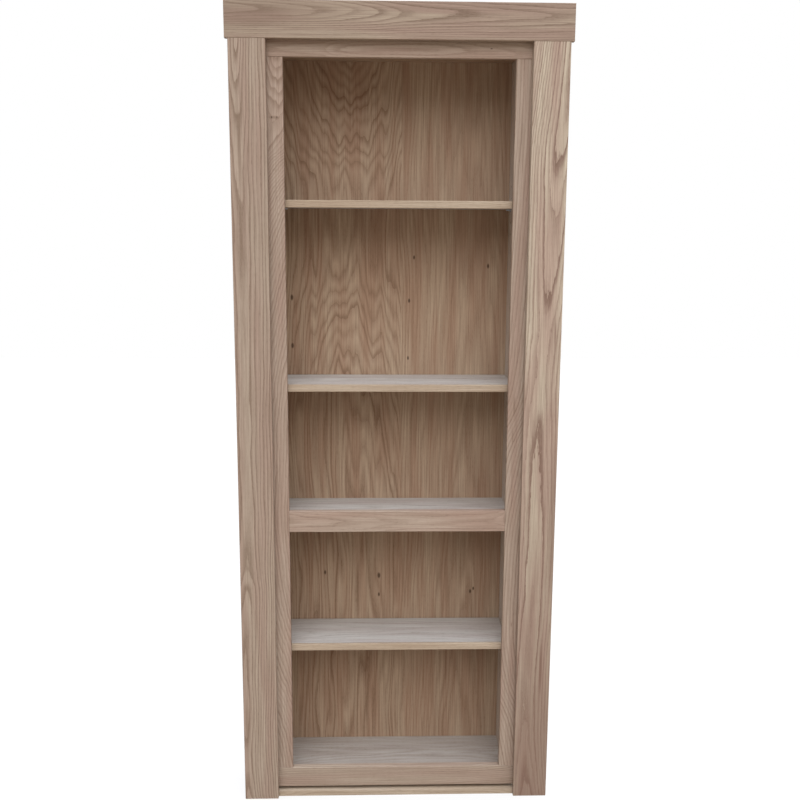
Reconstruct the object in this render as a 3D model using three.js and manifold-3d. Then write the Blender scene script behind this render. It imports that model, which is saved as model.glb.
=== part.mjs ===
// Hidden door bookcase in unfinished red oak, in millimetres, +Z up.
// A cased door frame stands in a wall opening. The bookcase hangs in it as the door: it closes against
// the back of the casings and swings away from the front, into the room behind, on three butt hinges.
// The origin is on the floor under the sill, midway between the jambs, on the plane of the wall's face.
// The front looks along -Y and the hinges are on the left, seen from the front.
import * as THREE from "three";
import { mergeVertices } from "three/addons/utils/BufferGeometryUtils.js";
import Module from "manifold-3d";

const wasm = await Module();
wasm.setup();

// Cased opening
const openingWidth = 662;
const openingHeight = 2040;
const casingWidth = 92.5;
const casingThickness = 19;
const headerHeight = 90;
const headerOverhang = 8;
const jambDepth = 116;
const jambThickness = 19;
const jambRabbet = 9.5;
const sillThickness = 14;
const sillSetback = 12.5;

// Face frame of the bookcase
const frameShow = 39.5;
const frameMember = 57.5;
const frameThickness = 19;
const stopGap = 3;
const sillGap = 10;
const headGap = 3;
const swingRoom = 12;

// Case of the bookcase
const boardThickness = 19;
const caseDepth = 184;
const backThickness = 6.5;
const sideReveal = 17.5;
const railLip = 20.5;
const housingDepth = 9.5;
const fixedShelfHeight = 810.5;
const boardArris = 1;

// Adjustable shelves, their pins and the holes that the pins stand in
const shelfEndGap = 1;
const shelfFrontGap = 3;
const shelfBackGap = 2;
const edgingWidth = 8;
const holePitch = 32;
const holeInset = 40;
const holeDiameter = 5.6;
const holeDepth = 10;
const holesBeside = 2;
const upperFirstHole = 52;
const lowerFirstHole = 38.5;
const pinDiameter = 5;
const pinLength = 8.5;
const pinCollarDiameter = 8.5;
const pinCollarThickness = 1.5;
const pinSpoonLength = 12;
const pinSpoonWidth = 9;
const pinSpoonThickness = 3;

// Butt hinges, the batten that carries them and where they stand
const battenDepth = 60;
const hingeHeight = 102;
const hingeLeafReach = 45;
const hingeLeafThickness = 3;
const hingeJoint = 3;
const hingeKnuckles = 5;
const hingeKnuckleGap = 0.4;
const barrelDiameter = 14;
const barrelSetoff = 0.5;
const hingePinDiameter = 8;
const hingePinClearance = 0.3;
const hingeTipDiameter = 11;
const hingeFromTop = 200;
const hingeFromFoot = 250;
const hingeScrewDiameter = 5;
const hingeScrewHeadDiameter = 9.6;
const hingeScrewShares = [
  { height: 0.12, reach: 0.35 },
  { height: 0.38, reach: 0.72 },
  { height: 0.62, reach: 0.35 },
  { height: 0.88, reach: 0.72 },
];

// Magnets behind the free casing, and the discs that they hold
const magnetDiameter = 12;
const magnetRecess = 6;
const strikeDiameter = 14;
const strikeThickness = 2;
const magnetFromEnds = 330;

// Pull on the back, for the room behind
const pullCentres = 128;
const pullReach = 34;
const pullBend = 14;
const pullDiameter = 10;
const pullHeight = 1050;

// Clearance left at every seat, and how far a cutter runs past what it cuts
const seatGap = 0.3;
const overrun = 2;

// How finely round shapes are faceted: steps in a half turn, and along the pull
const roundSteps = 14;
const smallRoundSteps = 6;
const pullSteps = 20;

// Planes of the assembly, worked out from the sizes above
const openingHalf = openingWidth / 2;
const casingOuter = openingHalf + casingWidth;
const headerTop = openingHeight + headerHeight;
const stileInner = openingHalf - frameShow;
const stileOuter = stileInner + frameMember;
const jambInner = stileOuter + swingRoom;
const jambOuter = jambInner + jambThickness;
const frameFront = stopGap;
const frameBack = frameFront + frameThickness;
const topRailFoot = openingHeight - frameShow;
const topRailTop = topRailFoot + frameMember;
const headJambFoot = topRailTop + headGap;
const headJambTop = headJambFoot + jambThickness;
const bottomRailFoot = sillThickness + sillGap;
const bottomRailTop = bottomRailFoot + frameMember;
const sideInner = stileInner + sideReveal;
const sideOuter = sideInner + boardThickness;
const bottomPanelTop = bottomRailTop - railLip;
const caseFoot = bottomPanelTop - boardThickness;
const topPanelFoot = topRailFoot + railLip;
const caseTop = topPanelFoot + boardThickness;
const caseFront = frameBack + seatGap;
const backFront = frameBack + caseDepth;
const caseBack = backFront + backThickness;
const fixedShelfFoot = fixedShelfHeight - boardThickness;
const middleRailTop = fixedShelfHeight + railLip;
const middleRailFoot = middleRailTop - frameMember;
const battenOuter = jambInner - hingeJoint;
const hingeAxisX = -(jambInner - hingeJoint / 2);
const hingeAxisY = jambDepth + barrelDiameter / 2 + barrelSetoff;

// Where each adjustable shelf stands: its stretch of the case, and the hole that its pins are in
const stretches = {
  upper: { floor: fixedShelfHeight, firstHole: upperFirstHole },
  lower: { floor: bottomPanelTop, firstHole: lowerFirstHole },
};
const shelves = [
  { name: "upper_shelf", stretch: "upper", hole: 24 },
  { name: "middle_shelf", stretch: "upper", hole: 9 },
  { name: "lower_shelf", stretch: "lower", hole: 10 },
];
const holeHeight = ({ stretch, hole }) =>
  stretches[stretch].floor + stretches[stretch].firstHole + hole * holePitch;
const shelfFoot = (shelf) => holeHeight(shelf) + pinSpoonThickness + seatGap;
const holeColumns = { front: frameBack + holeInset, back: backFront - holeInset };

// Where the hinges stand
const topHinge = caseTop - hingeFromTop;
const bottomHinge = caseFoot + hingeFromFoot;
const hinges = [
  { name: "top_hinge", height: topHinge },
  { name: "middle_hinge", height: (topHinge + bottomHinge) / 2 },
  { name: "bottom_hinge", height: bottomHinge },
];

// Where the magnets stand
const magnetX = (openingHalf + stileOuter) / 2;
const magnets = [
  { name: "top", height: openingHeight - magnetFromEnds },
  { name: "bottom", height: magnetFromEnds },
];

// Materials
const paint = (color, roughness, metalness = 0) =>
  new THREE.MeshStandardMaterial({ color, roughness, metalness });
const solidOak = paint("#ad9a88", 0.75);
const oakPlywood = paint("#8c7560", 0.8);
const oakEdging = paint("#bba88d", 0.75);
const jambBoard = paint("#b3a38f", 0.8);
const satinSteel = paint("#9c9c9a", 0.4, 1);
const zincSteel = paint("#b9babb", 0.45, 1);
const magnetNickel = paint("#8d8f92", 0.3, 1);

// Turns a closed three.js geometry into a solid that can be cut and joined.
function solidOf(geometry) {
  const bare = geometry.clone();
  bare.deleteAttribute("normal");
  bare.deleteAttribute("uv");
  const merged = mergeVertices(bare);
  const vertProperties = merged.attributes.position.array;
  const triVerts = new Uint32Array(merged.index.array);
  return new wasm.Manifold(new wasm.Mesh({ numProp: 3, vertProperties, triVerts }));
}

// Turns a solid back into a geometry with flat faces.
function geometryOf(solid) {
  const { vertProperties, triVerts } = solid.getMesh();
  const geometry = new THREE.BufferGeometry()
    .setAttribute("position", new THREE.BufferAttribute(vertProperties, 3))
    .setIndex(new THREE.BufferAttribute(triVerts, 1))
    .toNonIndexed();
  geometry.computeVertexNormals();
  return geometry;
}

// Hangs a solid, given in the part's frame, in a group as a named mesh with its own centre.
function hang(group, name, solid, material) {
  const geometry = geometryOf(solid);
  geometry.computeBoundingBox();
  const centre = geometry.boundingBox.getCenter(new THREE.Vector3());
  const mesh = new THREE.Mesh(geometry.translate(-centre.x, -centre.y, -centre.z), material);
  mesh.name = name;
  mesh.position.copy(centre);
  group.attach(mesh);
  return mesh;
}

// The two axes of a board's section, and the turn that lays an extrusion along the third.
const axisOf = {
  x: new THREE.Vector3(1, 0, 0),
  y: new THREE.Vector3(0, 1, 0),
  z: new THREE.Vector3(0, 0, 1),
};
const sectionAxes = { x: ["y", "z"], y: ["z", "x"], z: ["x", "y"] };

// An outline in a section plane, extruded between two limits along an axis.
function extrudeAlong(along, outline, [from, to], curveSegments = roundSteps) {
  const [u, v] = sectionAxes[along];
  const turn = new THREE.Matrix4().makeBasis(axisOf[u], axisOf[v], axisOf[along]);
  const options = { depth: to - from, bevelEnabled: false, curveSegments };
  return solidOf(
    new THREE.ExtrudeGeometry(outline, options).translate(0, 0, from).applyMatrix4(turn),
  );
}

// A board between limits on x, y and z, with the arrises along its length taken off.
function board(limits, along, arris = boardArris) {
  const [[u0, u1], [v0, v1]] = sectionAxes[along].map((axis) => limits[axis]);
  const outline = new THREE.Shape()
    .moveTo(u0 + arris, v0)
    .lineTo(u1 - arris, v0)
    .lineTo(u1, v0 + arris)
    .lineTo(u1, v1 - arris)
    .lineTo(u1 - arris, v1)
    .lineTo(u0 + arris, v1)
    .lineTo(u0, v1 - arris)
    .lineTo(u0, v0 + arris)
    .closePath();
  return extrudeAlong(along, outline, limits[along]);
}

// A square-edged block between limits, for panels and for cutters.
function block({ x, y, z }) {
  const size = [x, y, z].map(([low, high]) => high - low);
  const middle = [x, y, z].map(([low, high]) => (low + high) / 2);
  return solidOf(new THREE.BoxGeometry(...size).translate(...middle));
}

// A round bar between two limits along an axis, centred at (u, v) in the section plane.
function bar(along, u, v, diameter, limits, steps = roundSteps) {
  const outline = new THREE.Shape().absarc(u, v, diameter / 2, 0, 2 * Math.PI);
  return extrudeAlong(along, outline, limits, steps);
}

// The same limits on the other side of the middle plane, where side is 1 on the right, -1 on the left.
const mirrored = (side, [near, far]) => (side > 0 ? [near, far] : [-far, -near]);
const sides = { left: -1, right: 1 };

const hiddenDoorBookcase = new THREE.Group();
const doorFrame = new THREE.Group();
const bookcase = new THREE.Group();
bookcase.position.set(hingeAxisX, hingeAxisY, 0);
hiddenDoorBookcase.add(doorFrame, bookcase);
hiddenDoorBookcase.updateMatrixWorld(true);

// Pocket that one hinge leaf is let into, on the face of a board at faceX, cut towards direction.
function leafPocket(height, faceX, direction) {
  const bottom = faceX + direction * (hingeLeafThickness + seatGap);
  const mouth = faceX - direction * overrun;
  return block({
    x: [Math.min(bottom, mouth), Math.max(bottom, mouth)],
    y: [hingeAxisY - hingeLeafReach - seatGap, jambDepth + overrun],
    z: [height - hingeHeight / 2 - seatGap, height + hingeHeight / 2 + seatGap],
  });
}

// Side jamb: a board on the floor, rabbeted at its top for the head jamb, and on the hinge side
// pocketed for the hinge leaves.
function makeSideJamb(side) {
  let jamb = board(
    { x: mirrored(side, [jambInner, jambOuter]), y: [seatGap, jambDepth], z: [0, headJambTop] },
    "z",
  );
  jamb = jamb.subtract(
    block({
      x: mirrored(side, [jambInner - overrun, jambInner + jambRabbet]),
      y: [-overrun, jambDepth + overrun],
      z: [headJambFoot - seatGap, headJambTop + overrun],
    }),
  );
  if (side < 0)
    for (const { height } of hinges) jamb = jamb.subtract(leafPocket(height, -jambInner, -1));
  return jamb;
}

// Head jamb: its ends lie in the rabbets of the side jambs.
function makeHeadJamb() {
  const reach = jambInner + jambRabbet - seatGap;
  return board({ x: [-reach, reach], y: [seatGap, jambDepth], z: [headJambFoot, headJambTop] }, "x");
}

// Sill: full width between the jambs, with a narrower nose that comes forward between the casings.
function makeSill() {
  const wide = jambInner - seatGap;
  const narrow = openingHalf - seatGap;
  const nose = sillSetback - casingThickness;
  const plan = new THREE.Shape()
    .moveTo(-narrow, nose)
    .lineTo(narrow, nose)
    .lineTo(narrow, seatGap)
    .lineTo(wide, seatGap)
    .lineTo(wide, jambDepth)
    .lineTo(-wide, jambDepth)
    .lineTo(-wide, seatGap)
    .lineTo(-narrow, seatGap)
    .closePath();
  return extrudeAlong("z", plan, [0, sillThickness]);
}

// Side casing: runs from the floor to the header. The free side's has a recess for each magnet.
function makeCasing(side) {
  let casing = board(
    {
      x: mirrored(side, [openingHalf, casingOuter]),
      y: [-casingThickness, 0],
      z: [0, openingHeight - seatGap],
    },
    "z",
  );
  if (side > 0)
    for (const { height } of magnets) {
      const recess = bar("y", height, magnetX, magnetDiameter + 2 * seatGap, [
        -magnetRecess - seatGap,
        overrun,
      ]);
      casing = casing.subtract(recess);
    }
  return casing;
}

// Header casing: one wide board that overhangs the side casings.
function makeHeader() {
  const reach = casingOuter + headerOverhang;
  return board(
    { x: [-reach, reach], y: [-casingThickness, 0], z: [openingHeight, headerTop] },
    "x",
  );
}

hang(doorFrame, "left_jamb", makeSideJamb(sides.left), jambBoard);
hang(doorFrame, "right_jamb", makeSideJamb(sides.right), jambBoard);
hang(doorFrame, "head_jamb", makeHeadJamb(), jambBoard);
hang(doorFrame, "sill", makeSill(), oakEdging);
hang(doorFrame, "left_casing", makeCasing(sides.left), solidOak);
hang(doorFrame, "right_casing", makeCasing(sides.right), solidOak);
hang(doorFrame, "header_casing", makeHeader(), solidOak);

// Side of the case: rabbeted at both ends and along the back for the top, bottom and back panels,
// housed for the fixed shelf, and bored for the shelf pins.
function makeSide(side) {
  const housing = (foot, top) =>
    block({
      x: mirrored(side, [sideInner - overrun, sideInner + housingDepth]),
      y: [caseFront - overrun, caseBack + overrun],
      z: [foot, top],
    });
  const backRabbet = block({
    x: mirrored(side, [sideInner - overrun, sideInner + housingDepth]),
    y: [backFront - seatGap, caseBack + overrun],
    z: [caseFoot - overrun, caseTop + overrun],
  });
  let panel = board(
    { x: mirrored(side, [sideInner, sideOuter]), y: [caseFront, caseBack], z: [caseFoot, caseTop] },
    "z",
    0,
  )
    .subtract(housing(caseFoot - overrun, bottomPanelTop + seatGap))
    .subtract(housing(fixedShelfFoot - seatGap, fixedShelfHeight + seatGap))
    .subtract(housing(topPanelFoot - seatGap, caseTop + overrun))
    .subtract(backRabbet);
  const boring = mirrored(side, [sideInner - overrun, sideInner + holeDepth]);
  for (const shelf of shelves)
    for (let step = -holesBeside; step <= holesBeside; step++)
      for (const column of Object.values(holeColumns)) {
        const height = holeHeight(shelf) + step * holePitch;
        panel = panel.subtract(
          bar("x", column, height, holeDiameter, boring, smallRoundSteps),
        );
      }
  return panel;
}

// Top, bottom and fixed shelf: a board whose ends lie in the housings of the sides.
function makeHousedBoard(foot, top) {
  const reach = sideInner + housingDepth - seatGap;
  return block({ x: [-reach, reach], y: [caseFront, backFront - seatGap], z: [foot, top] });
}

// Back panel: lies in the rabbets of the sides and covers the back edges of the boards between them.
function makeBack() {
  const reach = sideInner + housingDepth - seatGap;
  return block({ x: [-reach, reach], y: [backFront, caseBack], z: [caseFoot, caseTop] });
}

hang(bookcase, "left_side", makeSide(sides.left), oakPlywood);
hang(bookcase, "right_side", makeSide(sides.right), oakPlywood);
hang(bookcase, "top_panel", makeHousedBoard(topPanelFoot, caseTop), oakPlywood);
hang(bookcase, "bottom_panel", makeHousedBoard(caseFoot, bottomPanelTop), oakPlywood);
hang(bookcase, "fixed_shelf", makeHousedBoard(fixedShelfFoot, fixedShelfHeight), oakPlywood);
hang(bookcase, "back_panel", makeBack(), oakPlywood);

// Stile of the face frame, between the top and bottom rails. The free side's takes the strikes.
function makeStile(side) {
  let stile = board(
    {
      x: mirrored(side, [stileInner, stileOuter]),
      y: [frameFront, frameBack],
      z: [bottomRailTop + seatGap, topRailFoot - seatGap],
    },
    "z",
  );
  if (side > 0)
    for (const { height } of magnets) {
      const recess = bar("y", height, magnetX, strikeDiameter + 2 * seatGap, [
        frameFront - overrun,
        frameFront + strikeThickness + seatGap,
      ]);
      stile = stile.subtract(recess);
    }
  return stile;
}

// Rail of the face frame, reaching the given distance to each side.
function makeRail(reach, foot, top) {
  return board({ x: [-reach, reach], y: [frameFront, frameBack], z: [foot, top] }, "x");
}

// Batten down the hinge side of the case, which fills the swing room and takes the hinge leaves.
function makeBatten() {
  let batten = board(
    {
      x: [-battenOuter, -sideOuter - seatGap],
      y: [jambDepth - battenDepth, jambDepth],
      z: [caseFoot, caseTop],
    },
    "z",
  );
  for (const { height } of hinges) batten = batten.subtract(leafPocket(height, -battenOuter, 1));
  return batten;
}

hang(bookcase, "left_stile", makeStile(sides.left), solidOak);
hang(bookcase, "right_stile", makeStile(sides.right), solidOak);
hang(bookcase, "top_rail", makeRail(stileOuter, topRailFoot, topRailTop), solidOak);
hang(bookcase, "middle_rail", makeRail(stileInner - seatGap, middleRailFoot, middleRailTop), solidOak);
hang(bookcase, "bottom_rail", makeRail(stileOuter, bottomRailFoot, bottomRailTop), solidOak);
hang(bookcase, "hinge_batten", makeBatten(), solidOak);

// Countersunk screw hole, its mouth at the origin and its depth along +Y, turned as one profile.
function makeScrewHole() {
  const headRadius = hingeScrewHeadDiameter / 2;
  const shankRadius = hingeScrewDiameter / 2;
  const profile = [
    new THREE.Vector2(0, -overrun),
    new THREE.Vector2(headRadius + overrun, -overrun),
    new THREE.Vector2(shankRadius, headRadius - shankRadius),
    new THREE.Vector2(shankRadius, hingeLeafThickness + overrun),
    new THREE.Vector2(0, hingeLeafThickness + overrun),
  ];
  return new THREE.LatheGeometry(profile, roundSteps);
}

// Leaf of a butt hinge, about its own pin. Its plate lies on one side of the joint between the two
// leaves, and it carries every second knuckle of the barrel. Between them it is cut back to clear
// the other leaf's knuckles. The jamb's leaf is on side -1 and has the first and last knuckle.
// The screw holes open on the joint's side, and their table gives shares of the plate.
function makeLeaf(side) {
  const foot = -hingeHeight / 2;
  const knucklePitch = hingeHeight / hingeKnuckles;
  const plateLimits = mirrored(side, [hingeJoint / 2, hingeJoint / 2 + hingeLeafThickness]);
  const plateEnd = -(barrelDiameter / 2 + barrelSetoff);
  let leaf = block({ x: plateLimits, y: [-hingeLeafReach, plateEnd], z: [foot, -foot] });
  for (let number = side < 0 ? 0 : 1; number < hingeKnuckles; number += 2) {
    const lowGap = number > 0 ? hingeKnuckleGap / 2 : 0;
    const highGap = number < hingeKnuckles - 1 ? hingeKnuckleGap / 2 : 0;
    const stretch = [
      foot + number * knucklePitch + lowGap,
      foot + (number + 1) * knucklePitch - highGap,
    ];
    const neck = block({ x: plateLimits, y: [plateEnd - overrun, 0], z: stretch });
    leaf = leaf.add(neck).add(bar("z", 0, 0, barrelDiameter, stretch));
  }
  for (const share of hingeScrewShares) {
    const reach = plateEnd + share.reach * (-hingeLeafReach - plateEnd);
    const hole = makeScrewHole().rotateZ((-side * Math.PI) / 2);
    hole.translate((side * hingeJoint) / 2, reach, foot + share.height * hingeHeight);
    leaf = leaf.subtract(solidOf(hole));
  }
  const boreDiameter = hingePinDiameter + 2 * hingePinClearance;
  return leaf.subtract(bar("z", 0, 0, boreDiameter, [foot - overrun, -foot + overrun]));
}

// Hinge pin: a rod through the knuckles with a round tip at each end, turned as one profile.
function makeHingePin() {
  const pinRadius = hingePinDiameter / 2;
  const tipRadius = hingeTipDiameter / 2;
  const end = hingeHeight / 2 + seatGap;
  const seatAngle = Math.asin(pinRadius / tipRadius);
  const tipCentre = end + tipRadius * Math.cos(seatAngle);
  const half = [];
  for (let step = 0; step <= smallRoundSteps; step++) {
    const angle = Math.PI - seatAngle - ((Math.PI - seatAngle) * step) / smallRoundSteps;
    const radius = step < smallRoundSteps ? tipRadius * Math.sin(angle) : 0;
    half.push(new THREE.Vector2(radius, tipCentre + tipRadius * Math.cos(angle)));
  }
  const mirroredHalf = half.map((point) => new THREE.Vector2(point.x, -point.y)).reverse();
  const profile = [...mirroredHalf, ...half];
  return solidOf(new THREE.LatheGeometry(profile, roundSteps).rotateX(Math.PI / 2));
}

const jambLeaf = geometryOf(makeLeaf(sides.left));
const caseLeaf = geometryOf(makeLeaf(sides.right));
const hingePin = geometryOf(makeHingePin());

// Places a repeated piece by its position and turn.
function placeCopy(group, name, geometry, material, position, turn = 0) {
  const mesh = new THREE.Mesh(geometry, material);
  mesh.name = name;
  mesh.position.set(...position);
  mesh.rotation.z = turn;
  group.attach(mesh);
}

for (const { name, height } of hinges) {
  const axis = [hingeAxisX, hingeAxisY, height];
  placeCopy(doorFrame, `${name}_jamb_leaf`, jambLeaf, satinSteel, axis);
  placeCopy(doorFrame, `${name}_pin`, hingePin, satinSteel, axis);
  placeCopy(bookcase, `${name}_case_leaf`, caseLeaf, satinSteel, axis);
}

// Magnet in the back of the free casing and the steel disc let into the stile behind it.
for (const { name, height } of magnets) {
  const magnet = bar("y", height, magnetX, magnetDiameter, [-magnetRecess, frameFront - seatGap]);
  const strike = bar("y", height, magnetX, strikeDiameter, [frameFront, frameFront + strikeThickness]);
  hang(doorFrame, `${name}_magnet`, magnet, magnetNickel);
  hang(bookcase, `${name}_strike`, strike, zincSteel);
}

// Adjustable shelf: a plywood board with a solid edging along its front.
for (const shelf of shelves) {
  const reach = sideInner - shelfEndGap;
  const front = frameBack + shelfFrontGap;
  const seam = front + edgingWidth;
  const foot = shelfFoot(shelf);
  const limits = { x: [-reach, reach], z: [foot, foot + boardThickness] };
  const panel = block({ ...limits, y: [seam + seatGap, backFront - shelfBackGap] });
  const edging = board({ ...limits, y: [front, seam] }, "x");
  const lift = new THREE.Group();
  bookcase.add(lift);
  lift.updateMatrixWorld(true);
  hang(lift, shelf.name, panel, oakPlywood);
  hang(lift, `${shelf.name}_edging`, edging, oakEdging);
}

// Shelf pin, about the mouth of its hole, with its shank along +X into the side of the case.
// A collar stops it at the mouth and a flat spoon reaches out under the shelf.
function makeShelfPin() {
  const collarFace = -seatGap - pinCollarThickness;
  const shank = bar("x", 0, 0, pinDiameter, [collarFace, pinLength], smallRoundSteps);
  const collar = bar("x", 0, 0, pinCollarDiameter, [collarFace, -seatGap], smallRoundSteps);
  const spoon = block({
    x: [-pinSpoonLength, -seatGap],
    y: [-pinSpoonWidth / 2, pinSpoonWidth / 2],
    z: [0, pinSpoonThickness],
  });
  const headroom = block({
    x: [-pinSpoonLength, overrun],
    y: [-pinCollarDiameter, pinCollarDiameter],
    z: [pinSpoonThickness, pinCollarDiameter],
  });
  return collar.subtract(headroom).add(shank).add(spoon);
}

const shelfPin = geometryOf(makeShelfPin());
for (const shelf of shelves)
  for (const [sideName, side] of Object.entries(sides))
    for (const [columnName, column] of Object.entries(holeColumns)) {
      const name = `${shelf.name}_${sideName}_${columnName}_pin`;
      const mouth = [side * sideInner, column, holeHeight(shelf)];
      placeCopy(bookcase, name, shelfPin, zincSteel, mouth, side > 0 ? 0 : Math.PI);
    }

// Pull: a bent rod that stands on the back edge of the free side, over the rabbet of the back panel.
function makePull() {
  const x = sideInner + housingDepth / 2;
  const near = caseBack + seatGap;
  const far = caseBack + pullReach;
  const foot = pullHeight - pullCentres / 2;
  const head = pullHeight + pullCentres / 2;
  const at = (y, z) => new THREE.Vector3(x, y, z);
  const path = new THREE.CurvePath();
  path.add(new THREE.LineCurve3(at(near, foot), at(far - pullBend, foot)));
  path.add(
    new THREE.QuadraticBezierCurve3(at(far - pullBend, foot), at(far, foot), at(far, foot + pullBend)),
  );
  path.add(new THREE.LineCurve3(at(far, foot + pullBend), at(far, head - pullBend)));
  path.add(
    new THREE.QuadraticBezierCurve3(at(far, head - pullBend), at(far, head), at(far - pullBend, head)),
  );
  path.add(new THREE.LineCurve3(at(far - pullBend, head), at(near, head)));
  const section = new THREE.Shape().absarc(0, 0, pullDiameter / 2, 0, 2 * Math.PI);
  const options = { steps: pullSteps, extrudePath: path, curveSegments: smallRoundSteps };
  return solidOf(new THREE.ExtrudeGeometry(section, options));
}

hang(bookcase, "rear_pull", makePull(), satinSteel);

export default hiddenDoorBookcase;
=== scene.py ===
"""Looks of the hidden door bookcase: bare red oak boards and plywood, plated steel fittings, the
screws, a pale floor, soft light and the camera. Lengths are in millimetres down to the screws, and
in metres from the floor on."""

import math
from types import SimpleNamespace

import bpy
import numpy as np
from mathutils import Matrix, Vector


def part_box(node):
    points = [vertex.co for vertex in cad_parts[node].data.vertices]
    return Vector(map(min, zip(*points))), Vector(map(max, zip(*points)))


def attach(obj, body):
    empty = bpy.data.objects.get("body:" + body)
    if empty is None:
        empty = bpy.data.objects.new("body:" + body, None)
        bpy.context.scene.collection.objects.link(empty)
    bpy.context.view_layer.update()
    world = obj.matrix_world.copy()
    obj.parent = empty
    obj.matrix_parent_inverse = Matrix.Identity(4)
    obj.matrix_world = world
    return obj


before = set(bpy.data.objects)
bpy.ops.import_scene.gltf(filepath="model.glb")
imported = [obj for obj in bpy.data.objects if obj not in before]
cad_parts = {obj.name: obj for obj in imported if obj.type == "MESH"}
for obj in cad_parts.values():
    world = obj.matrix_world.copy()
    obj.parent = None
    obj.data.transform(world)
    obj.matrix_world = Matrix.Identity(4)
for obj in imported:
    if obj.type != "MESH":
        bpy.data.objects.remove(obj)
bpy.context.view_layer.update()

MM = 0.001


def colour(code):
    """Linear colour of an sRGB hex code."""
    values = [int(code[i:i + 2], 16) / 255 for i in (1, 3, 5)]
    return (*[v / 12.92 if v <= 0.04045 else ((v + 0.055) / 1.055) ** 2.4 for v in values], 1.0)


def add(tree, kind, *values, out=0, stops=(), **named):
    """Adds a node and gives back its output of that number. Plain values go to its inputs in order,
    stops are the places and colours of its ramp, a name in small letters is a setting, and a name
    with a capital is an input."""
    node = tree.nodes.new("ShaderNode" + kind)
    inputs = {name: value for name, value in named.items() if not name.islower()}
    for name, value in named.items():
        if name not in inputs:
            setattr(node, name, value)
    if stops:
        elements = node.color_ramp.elements
        while len(elements) < len(stops):
            elements.new(0.5)
        for element, (place, shade) in zip(elements, stops):
            element.position = place
            element.color = shade
    fed = list(zip([socket for socket in node.inputs if socket.enabled], values))
    fed += [(node.inputs[name.replace("_", " ")], value) for name, value in inputs.items()]
    for socket, value in fed:
        if isinstance(value, bpy.types.NodeSocket):
            tree.links.new(value, socket)
        else:
            socket.default_value = value
    return [socket for socket in node.outputs if socket.enabled][out]


def new_material(name, **values):
    """A material with values set on its shader's own sockets, its node tree and its shader."""
    material = bpy.data.materials.new(name)
    material.use_nodes = True
    shader = material.node_tree.nodes["Principled BSDF"]
    for key, value in values.items():
        shader.inputs[key.replace("_", " ")].default_value = value
    return material, material.node_tree, shader


def corners(node_name):
    """Lowest and highest corner of a CAD node at rest."""
    return [np.array(corner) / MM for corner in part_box(node_name)]


def dress(node_name, material):
    """Gives a CAD node its material."""
    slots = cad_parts[node_name].data.materials
    slots.clear()
    slots.append(material)


# Oak, the shape of its rings

# Periods of the noises in oak, along the grain, across it and into the wood. SWING bends its rings,
# RAGGED makes them waver, STREAKS and PATCHES vary its tone, and FIBRES roughen sawn plies. Real
# pores are 0.3 mm wide, too fine to show, so PORES draws them 0.6 mm wide
SWING = (320, 70, 70)
RAGGED = (26, 3.5, 3.5)
STREAKS = (150, 2.6, 2.6)
PATCHES = (420, 34, 34)
PORES = (14, 0.6, 0.6)
FIBRES = (2, 2, 0.5)

# What a figure has where its own table, further down, doesn't say
USUAL = {
    "phase": 0, "swing": 4, "zigzag": 1.5, "zigzag_periods": (130, 18, 18), "ragged": 0.6,
    "fade": 0.7, "rise": 0.08, "stains_and_shade": (), "pins": (),
}

# Strength of the faintest and of the darkest ring
RING_STRENGTHS = (0.4, 1.05)

# Parts of their noises over which warm patches, streaks and pores go from none to all
PATCH_RANGE = (-0.4, 0.4)
STREAK_RANGE = (-0.5, 0.7)
PORE_RANGE = (0.05, 0.45)


def place_on_board(tree, node_name, axes):
    """Where a point lies on a board, as parts and as a place: along the grain from one end, across
    it from the middle line, and into the wood from the seen face. axes names the three row axes,
    and a minus says that the seen face is at the last one's high end. order gives their numbers,
    and size is the board's own in that order."""
    low, high = corners(node_name)
    order = ["xyz".index(axis) for axis in axes.strip("-")]
    turned = axes.endswith("-")
    start = [low[order[0]], (low[order[1]] + high[order[1]]) / 2, (high if turned else low)[order[2]]]
    signs = [1, 1, -1 if turned else 1]
    split = add(tree, "SeparateXYZ", add(tree, "TexCoord", out=3)).node.outputs
    parts = [add(tree, "Math", split[axis], sign / MM, -sign * offset, operation="MULTIPLY_ADD")
             for axis, sign, offset in zip(order, signs, start)]
    place = add(tree, "CombineXYZ", *parts)
    return SimpleNamespace(parts=parts, place=place, size=(high - low)[order], order=order)


def pith_path(tree, share, table):
    """A smooth line through the table's places, as shares of the board's length, and distances."""
    distances = [distance for _, distance in table]
    low = min(distances)
    reach = max(max(distances) - low, 1)
    node = add(tree, "FloatCurve", Value=share).node
    points = node.mapping.curves[0].points
    while len(points) < len(table):
        points.new(0.5, 0.5)
    for point, (place, distance) in zip(points, table):
        point.location = (place, (distance - low) / reach)
    node.mapping.update()
    return add(tree, "Math", node.outputs[0], reach, low, operation="MULTIPLY_ADD")


def swinging(tree, place, reach, periods, seed, detail):
    """Noise about zero, of that reach and those periods along, across and into the wood."""
    scale = [1 / period for period in periods]
    moved = add(tree, "Mapping", place, Location=(seed, seed / 3, 0), Scale=scale)
    noise = add(tree, "TexNoise", moved, Scale=1.0, Detail=detail, Roughness=0.55, normalize=False)
    return add(tree, "Math", noise, reach, operation="MULTIPLY")


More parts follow.
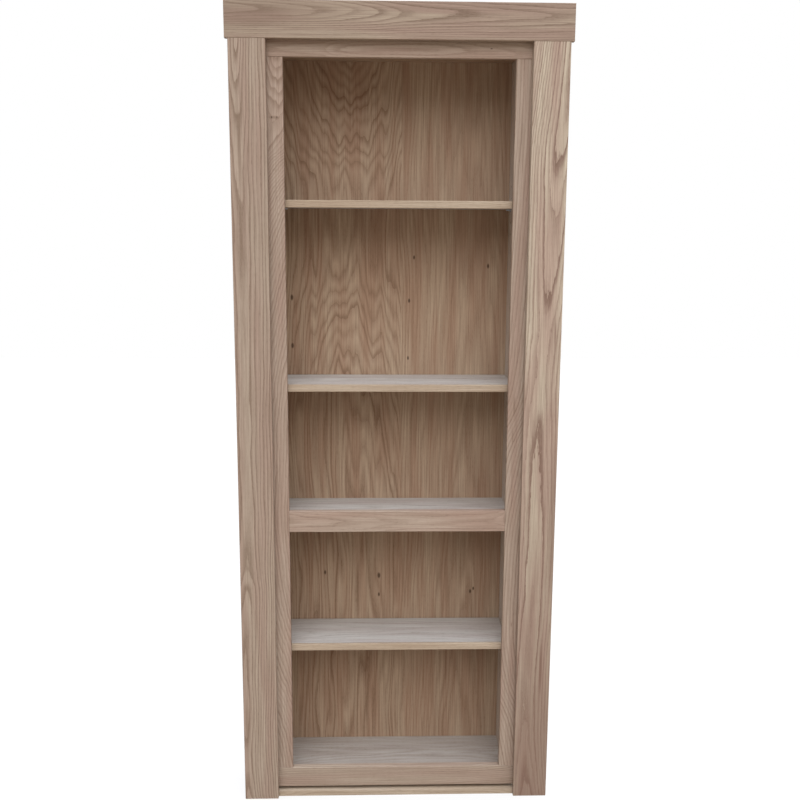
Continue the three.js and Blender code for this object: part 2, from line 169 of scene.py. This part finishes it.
def ring_count(tree, board, figure, seed):
    """Number of growth rings between the pith and a point. The pith runs beside the board's middle
    line and under its face along two curves, and a noise swings it sideways. Two more noises are
    added to the distance from it, to make the rings zigzag and ragged, and the sum is divided by
    the rings' pitch."""
    share = add(tree, "Math", board.parts[0], 1 / board.size[0], operation="MULTIPLY")
    beside = pith_path(tree, share, figure["beside"])
    beside = add(tree, "Math", board.parts[1], beside, operation="SUBTRACT")
    swing = swinging(tree, board.place, figure["swing"], SWING, seed, 1)
    beside = add(tree, "Math", beside, swing, operation="ADD")
    under = pith_path(tree, share, figure["under"])
    under = add(tree, "Math", board.parts[2], under, operation="ADD")
    distance = add(tree, "VectorMath", add(tree, "CombineXYZ", beside, under), operation="LENGTH")
    zigzag = swinging(tree, board.place, figure["zigzag"], figure["zigzag_periods"], seed + 5, 1)
    ragged = swinging(tree, board.place, figure["ragged"], RAGGED, seed + 9, 2)
    for noise in (zigzag, ragged):
        distance = add(tree, "Math", distance, noise, operation="ADD")
    first = seed + figure["phase"]
    return add(tree, "Math", distance, 1 / figure["pitch"], first, operation="MULTIPLY_ADD")


def early_wood(tree, board, figure, seed):
    """How much a point is open-pored early wood. Each ring starts with a band of it, sharp on its
    inner side, which fades to dense pale wood, and some rings are stronger than others. On a face
    with a second veneer leaf, the part beyond the joint has fainter rings of its own."""
    count = ring_count(tree, board, figure, seed)
    if "second" in figure:
        other = ring_count(tree, board, {**USUAL, **figure["second"]}, seed + 31)
        beyond = add(tree, "Math", board.parts[1], figure["joint"], operation="GREATER_THAN")
        count = add(tree, "Mix", beyond, count, other, data_type="FLOAT")
    fade = figure["fade"]
    # Places in a ring and how much early wood there is
    levels = ((0.0, 1.0), (0.2 * fade, 0.85), (0.6 * fade, 0.2), (fade, 0.0), (1 - figure["rise"], 0.06),
              (1.0, 0.9))
    stops = [(place, (level, level, level, 1)) for place, level in levels]
    band = add(tree, "ValToRGB", add(tree, "Math", count, operation="FRACT"), stops=stops)
    if "second" in figure:
        fainter = add(tree, "MapRange", beyond, 0.0, 1.0, 1.0, figure["second"]["lines"])
        band = add(tree, "Math", band, fainter, operation="MULTIPLY")
    ring = add(tree, "Math", count, operation="FLOOR")
    strength = add(tree, "TexWhiteNoise", W=ring, noise_dimensions="1D")
    strength = add(tree, "MapRange", strength, 0.0, 1.0, *RING_STRENGTHS)
    return add(tree, "Math", band, strength, operation="MULTIPLY")


# Oak, its tones

# Tones of an open pore, of a pin knot, and of a ply's end grain and long grain
PORE = "#59412e"
PIN_KNOT = "#3b2417"
PLY_END = "#7b6046"
PLY_SIDE = "#b39c7d"

# The most that streaks, pores and a sawn end darken the wood, and the share of its pores that are
# left in the dense part of a ring
STREAK_SHARE = 0.45
PORE_SHARE = 0.45
END_SHARE = 0.4
DENSE_PORES = 0.25

# Gloss of bare wood, its roughness where it is dense and where its pores are open, their depth, how
# strongly they catch the light, and the depth of streaks as a share of theirs
BARE_GLOSS = 0.3
ROUGHNESS = (0.58, 0.72)
PORE_DEPTH = 0.2
PORE_RELIEF = 0.5
STREAK_DEPTH = 0.3

# Where the soft edges of stains, of painted shade and of pin knots start and end, in parts of their
# ovals. A pin knot's shape is its half length and half width as shares of its radius, and its share
# is how much of the wood's tone it covers
STAIN_AND_SHADE_EDGE = (0.2, 1.0)
PIN_EDGE = (0.5, 1.3)
PIN_SHAPE = (2.6, 1.3)
PIN_SHARE = 0.8

# Part of the way from one ply to the next where the glue line lies, and how far fibres blur it
GLUE_LINE = (0.42, 0.58)
FIBRE_REACH = 0.35


def oval(tree, place, along, across, half_length, half_width):
    """Distance from a mark's middle, 1 on the edge of its oval."""
    middle = (-along / half_length, -across / half_width, 0)
    moved = add(tree, "Mapping", place, Location=middle, Scale=(1 / half_length, 1 / half_width, 0))
    return add(tree, "VectorMath", moved, operation="LENGTH")


def marked(tree, tone, board, figure, dark):
    """The tone with a board's stains and patches of painted shade, as dark as its ring lines, and its pin
    knots, which are twice as long as they are wide. All of them are ovals with soft edges."""
    for along, across, half_length, half_width, depth in figure["stains_and_shade"]:
        far = oval(tree, board.place, along, across, half_length, half_width)
        share = add(tree, "MapRange", far, *STAIN_AND_SHADE_EDGE, depth, 0.0, interpolation_type="SMOOTHSTEP")
        tone = add(tree, "Mix", share, tone, dark, data_type="RGBA")
    for along, across, radius in figure["pins"]:
        half_length, half_width = [radius * part for part in PIN_SHAPE]
        far = oval(tree, board.place, along, across, half_length, half_width)
        share = add(tree, "MapRange", far, *PIN_EDGE, PIN_SHARE, 0.0, interpolation_type="SMOOTHSTEP")
        tone = add(tree, "Mix", share, tone, colour(PIN_KNOT), data_type="RGBA")
    return tone


def squareness(tree, axis):
    """How squarely the surface looks along an axis, from 0 to 1."""
    normal = add(tree, "SeparateXYZ", add(tree, "TexCoord", out=1)).node.outputs
    return add(tree, "Math", normal[axis], operation="ABSOLUTE")


def with_plies(tree, tone, board, plies, seed):
    """The tone with the plies on cut edges, turn about pale long grain and dark end grain."""
    edge = add(tree, "Math", squareness(tree, board.order[2]), 0.5, operation="LESS_THAN")
    layer = add(tree, "Math", board.parts[2], plies / board.size[2], operation="MULTIPLY")
    layer = add(tree, "Math", layer, 1.0, operation="PINGPONG")
    layer = add(tree, "MapRange", layer, *GLUE_LINE)
    fibres = swinging(tree, board.place, FIBRE_REACH, FIBRES, seed + 8, 2)
    layer = add(tree, "Math", layer, fibres, operation="ADD", use_clamp=True)
    ply = add(tree, "Mix", layer, colour(PLY_END), colour(PLY_SIDE), data_type="RGBA")
    return add(tree, "Mix", edge, tone, ply, data_type="RGBA")


def with_dark_ends(tree, tone, board, dark):
    """The tone with darker sawn ends, because end grain drinks more light than long grain."""
    end = add(tree, "Math", squareness(tree, board.order[0]), 0.5, operation="GREATER_THAN")
    end = add(tree, "Math", end, END_SHARE, operation="MULTIPLY")
    return add(tree, "Mix", end, tone, dark, data_type="RGBA")


def oak(name, node_name, axes, figure, tones, seed, lines, plies):
    """Bare sanded oak on one board. tones are its pale wood, its warmer patches and its ring lines,
    and lines is how strongly these show. On the pale wood lie the patches, then streaks a few
    millimetres wide, the ring lines, the pores, and the board's own marks. Each noise adds a number
    of its own to the board's seed."""
    material, tree, shader = new_material(name, Specular_IOR_Level=BARE_GLOSS)
    board = place_on_board(tree, node_name, axes)
    figure = {**USUAL, **figure}
    band = early_wood(tree, board, figure, seed)
    streaks = swinging(tree, board.place, 1, STREAKS, seed + 2, 3)
    patches = swinging(tree, board.place, 1, PATCHES, seed + 4, 1)
    pores = swinging(tree, board.place, 1, PORES, seed + 6, 1)
    pores = add(tree, "MapRange", pores, *PORE_RANGE, 0.0, 1.0)
    open_share = add(tree, "MapRange", band, 0.0, 1.0, DENSE_PORES, 1.0)
    pores = add(tree, "Math", pores, open_share, operation="MULTIPLY")

    tone, warm, dark = [colour(code) for code in tones]
    layers = (
        (add(tree, "MapRange", patches, *PATCH_RANGE, 0.0, 1.0), warm),
        (add(tree, "MapRange", streaks, *STREAK_RANGE, 0.0, STREAK_SHARE), dark),
        (add(tree, "Math", band, lines, operation="MULTIPLY"), dark),
        (add(tree, "Math", pores, PORE_SHARE, operation="MULTIPLY"), colour(PORE)),
    )
    for share, shade in layers:
        tone = add(tree, "Mix", share, tone, shade, data_type="RGBA")
    tone = marked(tree, tone, board, figure, dark)
    if plies:
        tone = with_plies(tree, tone, board, plies, seed)
    else:
        tone = with_dark_ends(tree, tone, board, dark)
    tree.links.new(tone, shader.inputs["Base Color"])

    rough = add(tree, "MapRange", band, 0.0, 1.0, *ROUGHNESS)
    tree.links.new(rough, shader.inputs["Roughness"])
    depth = add(tree, "Math", streaks, STREAK_DEPTH, operation="MULTIPLY")
    depth = add(tree, "Math", pores, depth, operation="ADD")
    relief = add(tree, "Bump", Height=depth, Strength=PORE_RELIEF, Distance=PORE_DEPTH * MM, invert=True)
    tree.links.new(relief, shader.inputs["Normal"])
    return material


# Solid oak, planed and sanded, with no finish: a dull grey-tan face with open-pored darker ring lines
CASING = ("#b29f8c", "#ab9382", "#7a6350")
FACE = ("#b5a18f", "#ac9281", "#7c6350")
# The right casing's paler tones are painted light, for the brighter light that falls from the right
LIT_RIGHT_CASING = ("#c8b8a1", "#baa28f", "#7d6152")
HEADER = ("#ad9a85", "#a38a79", "#776150")
JAMB = ("#ad9a87", "#a18c78", "#7f6853")
EDGING = ("#bfac95", "#b49f87", "#907963")
# Oak plywood, sanded veneer with no finish: brown on the back panel and paler on the sides. The
# shelf tops are grey, a painted cool light from above, and the bottom one is darker, painted shade
VENEER = ("#b79f85", "#a98b72", "#705039")
SIDE = ("#d3c8bc", "#c7b7a8", "#968270")
SKY_TINTED_SHELF = ("#c1bcb4", "#b8aea6", "#918378")
FLOOR = ("#b1a89e", "#a69b90", "#84766b")

# Figures, how the rings lie in each board. beside and under place the pith, at shares of the board's
# length, beside its middle line and under its face. pitch is the width of a ring, and phase moves
# them all by that share of one. swing, zigzag and ragged are the reach of their noises. A ring's
# dark band fades over its first share, fade, and the next one rises over its last share, rise. A
# stain, or a patch of painted shade, is its place along and across, half its length and width, and
# its depth, and a pin is the place and radius of a pin knot. A face of two veneer leaves has the
# second one beyond its joint
header_casing = {
    "beside": [(0.0, 24), (0.3, 20), (0.5, 17), (1.0, 14)],
    "under": [(0.0, 23), (0.115, 26), (0.281, 30), (0.366, 34), (0.442, 38), (0.513, 42), (0.666, 46),
              (0.925, 50), (1.0, 51)],
    "pitch": 4, "phase": 0.5, "swing": 2, "zigzag": 0.8, "ragged": 0.3,
    # The stain is painted shade: it darkens the left end, away from the brighter light on the right
    "stains_and_shade": [(60, 16, 330, 60, 0.35)],
}
left_casing = {
    "beside": [(0.0, -34), (0.1, -39), (0.3, -29), (0.6, -21), (0.75, -19), (0.95, -27), (1.0, -28)],
    "under": [(0.0, 12), (0.03, 14), (0.06, 17), (0.094, 14), (0.14, 11), (0.2, 13), (0.261, 16),
              (0.304, 21), (0.335, 28), (0.45, 31), (0.6, 31), (0.75, 29), (0.86, 25), (0.905, 21),
              (0.947, 14), (1.0, 4)],
    "pitch": 7, "swing": 7, "zigzag": 1.6, "ragged": 0.4,
    "stains_and_shade": [(1775, -23, 120, 6, 0.55), (1540, -22, 60, 4, 0.3), (1180, -8, 130, 5, 0.3),
               (225, -36, 120, 6, 0.45)],
}
right_casing = {
    "beside": [(0.0, -10), (0.135, -20), (0.356, -5), (0.511, -10), (0.694, 9), (0.786, 18),
               (0.859, 25), (0.92, 42), (1.0, 66)],
    "under": [(0.0, 47), (0.026, 49.5), (0.135, 55), (0.3, 56.5), (0.44, 58.5), (0.511, 60.5),
              (0.6, 64.5), (0.694, 60.5), (0.786, 55), (0.859, 49.5), (0.94, 44), (1.0, 38)],
    "pitch": 5.5, "swing": 2, "zigzag": 1.2, "ragged": 0.5, "fade": 0.6, "rise": 0.06,
    "stains_and_shade": [(1311, 30, 60, 4, 0.7), (385, 20, 110, 6, 0.9), (800, 40, 330, 16, 0.5),
               # The last two stains are painted shade: they darken the casing more and more towards its
               # foot
               (0, 8, 1500, 150, 0.4), (0, 10, 640, 110, 0.55)],
}
left_stile = {
    "beside": [(0.0, -195), (0.036, -208), (0.176, -289), (0.322, -345), (0.479, -345), (0.635, -300),
               (0.8, -190), (0.86, -105), (0.9, -20), (0.93, 11), (1.0, 14)],
    "under": [(0.0, 20), (0.8, 24), (0.88, 46), (0.905, 56), (0.93, 50), (0.96, 34), (1.0, 8)],
    "pitch": 9, "swing": 5, "zigzag": 3, "zigzag_periods": (60, 18, 18), "fade": 0.8, "rise": 0.14,
    "stains_and_shade": [(1773, 6, 6, 20, 0.6), (1925, 0, 26, 4, 0.6)],
    "pins": [(1773, 0, 1.1), (1773, 13, 1.1)],
}
right_stile = {
    "beside": [(0.0, 392), (0.062, 368), (0.166, 308), (0.218, 298), (0.442, 332), (0.583, 421),
               (0.843, 461), (1.0, 470)],
    "under": [(0.0, 20), (1.0, 20)],
    "pitch": 9,
    "stains_and_shade": [(1035, -12, 45, 4, 0.6), (955, -14, 35, 4, 0.5), (423, -4, 9, 1.5, 0.9)],
}
top_rail = {
    "beside": [(0.0, -14), (0.5, -10), (1.0, -20)],
    "under": [(0.0, 31), (0.22, 26), (0.285, 20), (0.5, 16), (0.8, 22), (1.0, 28)],
    "pitch": 5, "zigzag": 0.8,
    "pins": [(577, -5, 1.2)],
}
middle_rail = {
    "beside": [(0.0, 4), (0.5, -4), (1.0, 6)],
    "under": [(0.0, 30), (0.3, 36), (0.7, 42), (1.0, 34)],
    "pitch": 5,
}
bottom_rail = {
    "beside": [(0.0, -50), (0.5, -62), (1.0, -44)],
    "under": [(0.0, 30), (1.0, 24)],
    "pitch": 5.5,
}
straight = {
    "beside": [(0.0, 120), (0.5, 132), (1.0, 118)],
    "under": [(0.0, 60), (1.0, 66)],
    "pitch": 4,
}
plain = {
    "beside": [(0.0, 10), (0.4, -14), (1.0, 6)],
    "under": [(0.0, 38), (0.35, 56), (0.6, 60), (1.0, 42)],
    "pitch": 7,
}
shelf = {
    "beside": [(0.0, -20), (0.5, 10), (1.0, -10)],
    "under": [(0.0, 50), (0.4, 62), (0.7, 66), (1.0, 54)],
    "pitch": 8, "swing": 9, "zigzag": 5, "zigzag_periods": (200, 22, 22), "fade": 0.6, "rise": 0.3,
}
back_panel = {
    "beside": [(0.0, -100), (0.25, -90), (0.5, -120), (0.8, -130), (1.0, -132)],
    "under": [(0.0, 60), (0.2, 66), (0.37, 72), (0.5, 86), (0.58, 112), (0.66, 150), (0.74, 178),
              (0.8, 180), (0.88, 146), (0.94, 108), (1.0, 66)],
    "pitch": 12, "swing": 10, "zigzag": 18, "zigzag_periods": (460, 40, 40), "fade": 0.6, "rise": 0.4,
    "pins": [(1348, -292, 3.2), (1213, -292, 3.0), (1437, 255, 2.6), (1340, 35, 2.4),
             (1460, 48, 2.2), (1178, 33, 2.2), (543, -206, 2.6), (533, -48, 3.4), (474, -48, 2.4),
             (482, 222, 2.6), (491, 231, 2.2)],
    "joint": 12,
    "second": {
        "beside": [(0.0, 195), (0.4, 205), (0.67, 212), (0.88, 181), (1.0, 185)],
        "under": [(0.0, 65), (0.67, 112), (0.876, 126), (1.0, 134)],
        "pitch": 9, "swing": 8, "zigzag": 7, "zigzag_periods": (320, 34, 34), "lines": 0.6,
    },
}

# Boards: node, axes along the grain, across it and into the wood, figure, tones, seed, strength of
# the ring lines, and plies, with 0 for solid wood
boards = [
    ("header_casing", "xzy", header_casing, HEADER, 3, 0.7, 0),
    ("left_casing", "zxy", left_casing, CASING, 5, 0.8, 0),
    ("right_casing", "zxy", right_casing, LIT_RIGHT_CASING, 8, 0.95, 0),
    ("left_stile", "zxy", left_stile, FACE, 12, 0.6, 0),
    ("right_stile", "zxy", right_stile, FACE, 17, 0.65, 0),
    ("top_rail", "xzy", top_rail, FACE, 21, 0.4, 0),
    ("middle_rail", "xzy", middle_rail, FACE, 25, 0.45, 0),
    ("bottom_rail", "xzy", bottom_rail, CASING, 29, 0.5, 0),
    ("sill", "xyz-", straight, EDGING, 33, 0.4, 0),
    ("left_jamb", "zyx-", plain, JAMB, 37, 0.5, 0),
    ("right_jamb", "zyx", plain, JAMB, 41, 0.5, 0),
    ("head_jamb", "xyz", plain, JAMB, 45, 0.5, 0),
    ("hinge_batten", "zyx", straight, JAMB, 49, 0.5, 0),
    ("back_panel", "zxy", back_panel, VENEER, 53, 0.62, 3),
    ("left_side", "zyx-", shelf, SIDE, 57, 0.5, 7),
    ("right_side", "zyx", shelf, SIDE, 61, 0.5, 7),
    ("top_panel", "xyz", shelf, VENEER, 65, 0.5, 7),
    ("bottom_panel", "xyz-", shelf, FLOOR, 69, 0.3, 7),
    ("fixed_shelf", "xyz-", shelf, SKY_TINTED_SHELF, 73, 0.35, 7),
]
for shelf_name, seed in (("upper_shelf", 77), ("middle_shelf", 85), ("lower_shelf", 93)):
    boards.append((shelf_name, "xyz-", shelf, SKY_TINTED_SHELF, seed, 0.35, 7))
    boards.append((f"{shelf_name}_edging", "xzy", straight, EDGING, seed + 4, 0.4, 0))

for name, axes, figure, tones, seed, lines, plies in boards:
    made = "sanded_oak_plywood" if plies else "sanded_red_oak"
    dress(name, oak(f"{name}_{made}", name, axes, figure, tones, seed, lines, plies))


# Steel

# Periods of the clouds, the part of their noise over which they go from none to all, and what they
# leave of the tone
CLOUDS = (11, 11, 11)
CLOUD_RANGE = (-0.5, 0.5)
CLOUDED = 0.75

# Part of the scratches' noise over which the plating goes from smoothest to roughest, how far these
# are from its usual roughness, and the scratches' depth
SCRATCH_RANGE = (-0.6, 0.6)
SMOOTHER = 0.08
ROUGHER = 0.12
SCRATCH_DEPTH = 0.05


def steel(name, tone, roughness, periods, relief):
    """Plated steel. Fine scratches of those periods change its roughness, and catch the light as
    strongly as relief says, and clouds a centimetre wide dull its tone."""
    material, tree, shader = new_material(name, Metallic=1.0)
    place = add(tree, "Mapping", add(tree, "TexCoord", out=3), Scale=(1 / MM, 1 / MM, 1 / MM))
    scratches = swinging(tree, place, 1, periods, 3, 2)
    clouds = swinging(tree, place, 1, CLOUDS, 7, 2)
    clouds = add(tree, "MapRange", clouds, *CLOUD_RANGE)
    pale = colour(tone)
    dull = (*[value * CLOUDED for value in pale[:3]], 1)
    tone = add(tree, "Mix", clouds, pale, dull, data_type="RGBA")
    tree.links.new(tone, shader.inputs["Base Color"])
    rough = add(tree, "MapRange", scratches, *SCRATCH_RANGE, roughness - SMOOTHER, roughness + ROUGHER)
    tree.links.new(rough, shader.inputs["Roughness"])
    scratched = add(tree, "Bump", Height=scratches, Strength=relief, Distance=SCRATCH_DEPTH * MM)
    tree.links.new(scratched, shader.inputs["Normal"])
    return material


# Satin plated steel, brushed lengthways: long soft glints. Scratches 0.1 mm wide are drawn at 0.5 mm
satin = steel("satin_plated_brushed_steel", "#a5a5a2", 0.36, (0.5, 0.5, 9), 0.2)
# Zinc plated steel, tumbled: a paler, cloudier grey with no grain
zinc = steel("zinc_plated_tumbled_steel", "#c0c2c4", 0.42, (0.8, 0.8, 0.8), 0.15)
# Nickel plated sintered magnet: a darker, smoother mirror
nickel = steel("nickel_plated_magnet", "#9a9c9f", 0.24, (1.5, 1.5, 1.5), 0.05)
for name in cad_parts:
    if name.endswith("_magnet"):
        dress(name, nickel)
    elif name.endswith("_strike") or "_shelf_" in name and name.endswith("_pin"):
        dress(name, zinc)
    elif name.endswith(("_leaf", "_hinge_pin", "_pull")):
        dress(name, satin)


# Screws

# Points across a head and round a screw
HEAD_STEPS = 9
TURNS = 32

# Height of a head's rim, and shares of its radius: the shank's radius, the width of the cross's
# slots and their depth
RIM = 0.35
SHANK = 0.5
SLOT_WIDTH = 0.2
SLOT_DEPTH = 0.4

# Kinds of screw: radius of the head, height of its crown, length, material and slot
LEAF_SCREW = (4.6, 0, 16, satin, "satin_steel")
BOARD_SCREW = (4, 0, 30, zinc, "zinc_steel")
PANEL_SCREW = (3.4, 1.3, 16, zinc, "zinc_steel")


def screw_profile(radius, crown, length):
    """Distances from a screw's axis and heights above its rim: out over a head that is a flat disc
    or a low crown, down the rim and a cone to the shank, and in to the point."""
    share = np.linspace(0, 1, HEAD_STEPS)
    head = np.stack([radius * share, crown * (1 - share ** 2)], axis=1)
    shank = radius * SHANK
    cone_end = -RIM - (radius - shank)
    rest = [(radius, -RIM), (shank, cone_end), (shank, 2 * shank - length), (0, -length)]
    return np.concatenate([head, rest])


def screw_points(radius, crown, length, facing):
    """Points of one screw, the middle of its rim at the origin: its profile turned about its axis.
    In the head's inner part the height drops by the slots' depth where a point is near one of two
    crossed lines, which is where the lesser of its two distances from them is small."""
    profile = screw_profile(radius, crown, length)
    ring = profile[:, 0, None]
    height = profile[:, 1, None]
    angle = np.linspace(0, 2 * np.pi, TURNS, endpoint=False)
    u = ring * np.cos(angle)
    v = ring * np.sin(angle)
    # Whole within 0.6 of a slot's width of its line, and none past 1.6
    near_line = np.clip(1.6 - np.minimum(np.abs(u), np.abs(v)) / (radius * SLOT_WIDTH), 0, 1)
    # Whole within 0.45 of the head's radius, and none past 0.68
    near_middle = np.clip(3 - 4.4 * ring / radius, 0, 1)
    slotted = near_line * near_middle
    slotted[HEAD_STEPS:] = 0
    w = height - radius * SLOT_DEPTH * slotted
    axis = Vector(facing).normalized()
    side = axis.orthogonal().normalized()
    up = axis.cross(side)
    turned = u[..., None] * np.array(side) + v[..., None] * np.array(up) + w[..., None] * np.array(axis)
    return turned.reshape(-1, 3)


def screw_faces(rows):
    """Faces of one screw with that many rows of points: squares between rows, a fan round the
    middle of its head and a fan round its point."""
    row, turn = np.meshgrid(np.arange(1, rows - 2), np.arange(TURNS), indexing="ij")
    start = row * TURNS
    after = (turn + 1) % TURNS
    squares = np.stack([start + turn, start + TURNS + turn, start + TURNS + after, start + after], axis=-1)
    turn = np.arange(TURNS)
    after = (turn + 1) % TURNS
    start = (rows - 2) * TURNS
    head = np.stack([np.zeros_like(turn), TURNS + turn, TURNS + after], axis=-1)
    point = np.stack([start + turn, np.full_like(turn, start + TURNS), start + after], axis=-1)
    return squares.reshape(-1, 4), head, point


def screws(name, body, places, facing, radius, crown, length, material, slot):
    """Screws with a cross recess and the middles of their heads at those places, in one mesh."""
    one = screw_points(radius, crown, length, facing)
    points = np.array(places)[:, None] + one
    parts = screw_faces(len(one) // TURNS)
    faces = []
    for number in range(len(places)):
        for part in parts:
            faces += (part + number * len(one)).tolist()
    mesh = bpy.data.meshes.new(name)
    mesh.from_pydata((points.reshape(-1, 3) * MM).tolist(), [], faces)
    piece = bpy.data.objects.new(name, mesh)
    bpy.context.collection.objects.link(piece)
    mesh.materials.append(material)
    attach(piece, body)


def middle_height(node_name):
    """Height of the middle of a board's thickness."""
    low, high = corners(node_name)
    return (low[2] + high[2]) / 2


# How far a flush head stands proud of an outer face, so that the two don't flicker
PROUD = 0.15


def outer_face(node_name, side):
    """Place of the heads on the outer face of an upright board, on side -1 or 1."""
    return corners(node_name)[0 if side < 0 else 1][0] + PROUD * side


# Leaf screws, four to a leaf in two rows, with their heads flush in the countersunk holes. The holes
# are at shares of the leaf's height and of its plate, from the end that is level with the jamb's
# back. The heads are just under the leaf's face, that far from the hinge's middle
leaf_holes = ((0.12, 0.35), (0.38, 0.72), (0.62, 0.35), (0.88, 0.72))
head_place = 1.7
plate_end = corners("left_jamb")[1][1]
for leaf, body, side in (("jamb_leaf", "door_frame", -1), ("case_leaf", "bookcase", 1)):
    places = []
    for hinge in ("top_hinge", "middle_hinge", "bottom_hinge"):
        low, high = corners(f"{hinge}_{leaf}")
        middle = (low[0] + high[0]) / 2
        for height, reach in leaf_holes:
            place = (middle + side * head_place, plate_end - reach * (plate_end - low[1]),
                     low[2] + height * (high[2] - low[2]))
            places.append(place)
    screws(f"{leaf}_screws", body, places, (-side, 0, 0), *LEAF_SCREW)

# Case screws: through the sides into the ends of the bottom, the fixed shelf and the top. Rows are
# distances behind the wall's front face
board_heights = [middle_height(name) for name in ("bottom_panel", "fixed_shelf", "top_panel")]
for name, side, rows in (("left_side", -1, (38, 140, 188)), ("right_side", 1, (48, 114, 180))):
    places = [(outer_face(name, side), row, height) for row in rows for height in board_heights]
    screws(f"{name}_screws", "bookcase", places, (side, 0, 0), *BOARD_SCREW)

# Frame screws: through the side jambs into the ends of the head jamb
for name, side in (("left_jamb", -1), ("right_jamb", 1)):
    places = [(outer_face(name, side), row, middle_height("head_jamb")) for row in (18, 58, 98)]
    screws(f"{name}_screws", "door_frame", places, (side, 0, 0), *BOARD_SCREW)

# Back panel screws, with low crowned heads: nine up each edge, and five into each fixed board
edge_inset = 4.6
foot_gap = 68
top_gap = 70
low, high = corners("back_panel")
edges = (low[0] + edge_inset, high[0] - edge_inset)
up_edge = np.linspace(low[2] + foot_gap, high[2] - top_gap, 9)
places = [(edge, high[1], height) for edge in edges for height in up_edge]
places += [(x, high[1], height) for x in np.linspace(-260, 260, 5) for height in board_heights]
screws("back_panel_screws", "bookcase", places, (0, 1, 0), *PANEL_SCREW)


# Floor and light

def seen_directly(tree):
    """1 for rays from the camera, from reflections and through glass, and 0 for light that spreads."""
    path = add(tree, "LightPath").node.outputs
    seen = path["Is Camera Ray"]
    for kind in ("Is Glossy Ray", "Is Transmission Ray"):
        seen = add(tree, "Math", seen, path[kind], operation="MAXIMUM")
    return seen


floor_reach = 9
floor_corners = [(x * floor_reach, y * floor_reach, 0) for x, y in ((-1, -1), (1, -1), (1, 1), (-1, 1))]
floor_mesh = bpy.data.meshes.new("floor")
floor_mesh.from_pydata(floor_corners, [], [(0, 1, 2, 3)])
floor = bpy.data.objects.new("floor", floor_mesh)
bpy.context.collection.objects.link(floor)
# Painted board: matt. Light spreads from it a little warm. The camera and reflections see a darker
# tone with a white glow over it, which comes near white and leaves its shadows
paint, tree, shader = new_material("matt_painted_floor", Roughness=0.9, Emission_Color=(1, 1, 1, 1))
spreading_tone = colour("#8f8172")
seen_tone = colour("#6a6764")
floor_glow = 0.78
seen = seen_directly(tree)
tone = add(tree, "Mix", seen, spreading_tone, seen_tone, data_type="RGBA")
glow = add(tree, "Math", seen, floor_glow, operation="MULTIPLY")
tree.links.new(tone, shader.inputs["Base Color"])
tree.links.new(glow, shader.inputs["Emission Strength"])
floor_mesh.materials.append(paint)

# Sky light: brightest high up and to the right, dim and warm from below, and plain white to the
# camera and reflections. The tones are at the sine of a height above the horizon, and the ramp
# holds them as shares of a level, which grows to the right by its slope
sky_tones = [
    (-1.0, (0.18, 0.13, 0.09)), (-0.02, (0.18, 0.14, 0.10)), (0.02, (0.33, 0.29, 0.25)),
    (0.26, (0.62, 0.595, 0.565)), (0.5, (0.87, 0.895, 0.93)), (0.72, (1.48, 1.62, 1.8)),
    (0.9, (3.3, 3.65, 4.2)), (1.0, (2.1, 2.4, 2.9)),
]
sky_level = 5
sky_slope = 0.7
stops = [((height + 1) / 2, (*[value / sky_level for value in tone], 1)) for height, tone in sky_tones]
world = bpy.data.worlds.new("soft_sky")
bpy.context.scene.world = world
world.use_nodes = True
tree = world.node_tree
seen = seen_directly(tree)
direction = add(tree, "SeparateXYZ", add(tree, "TexCoord")).node.outputs
sky = add(tree, "ValToRGB", add(tree, "MapRange", direction[2], -1.0, 1.0), stops=stops)
level = add(tree, "Math", direction[0], sky_slope * sky_level, sky_level, operation="MULTIPLY_ADD")
sky = add(tree, "VectorMath", sky, Scale=level, operation="SCALE")
lit = add(tree, "Mix", seen, sky, (1, 1, 1, 1), data_type="RGBA")
tree.links.new(lit, tree.nodes["Background"].inputs["Color"])

# The key is a wide soft lamp above the front, a little to the left, turned to the bookcase's middle
key = bpy.data.lights.new("key", "AREA")
key.shape = "DISK"
key.size = 10.5
key.energy = 730
key.color = colour("#fbfbff")[:3]
lamp = bpy.data.objects.new("key", key)
bpy.context.collection.objects.link(lamp)
lamp.location = (-1.4, -8.4, 9.6)
lamp.rotation_euler = (Vector((0, 0, 1)) - lamp.location).to_track_quat("-Z", "Y").to_euler()


# Camera

# It stands a little left of the middle at eye height and looks down at the bookcase. Its angles are
# in degrees, and its focal length is in the photograph's pixels
eye = Vector((-73.4, -2557.3, 1598.9)) * MM
tilt, turn, roll = [math.radians(angle) for angle in (10.244, 1.7526, 0.3285)]
focal_pixels = 985.4
photo_width = 800
forward = Vector((math.sin(turn) * math.cos(tilt), math.cos(turn) * math.cos(tilt), -math.sin(tilt)))
level = Vector((math.cos(turn), -math.sin(turn), 0))
upright = level.cross(forward)
right = level * math.cos(roll) + upright * math.sin(roll)
top = upright * math.cos(roll) - level * math.sin(roll)
camera_data = bpy.data.cameras.new("camera")
camera_data.sensor_width = 36
camera_data.lens = focal_pixels / photo_width * camera_data.sensor_width
camera = bpy.data.objects.new("camera", camera_data)
bpy.context.collection.objects.link(camera)
camera.matrix_world = Matrix.Translation(eye) @ Matrix((right, top, -forward)).transposed().to_4x4()
bpy.context.scene.camera = camera
bpy.context.scene.view_settings.view_transform = "Standard"
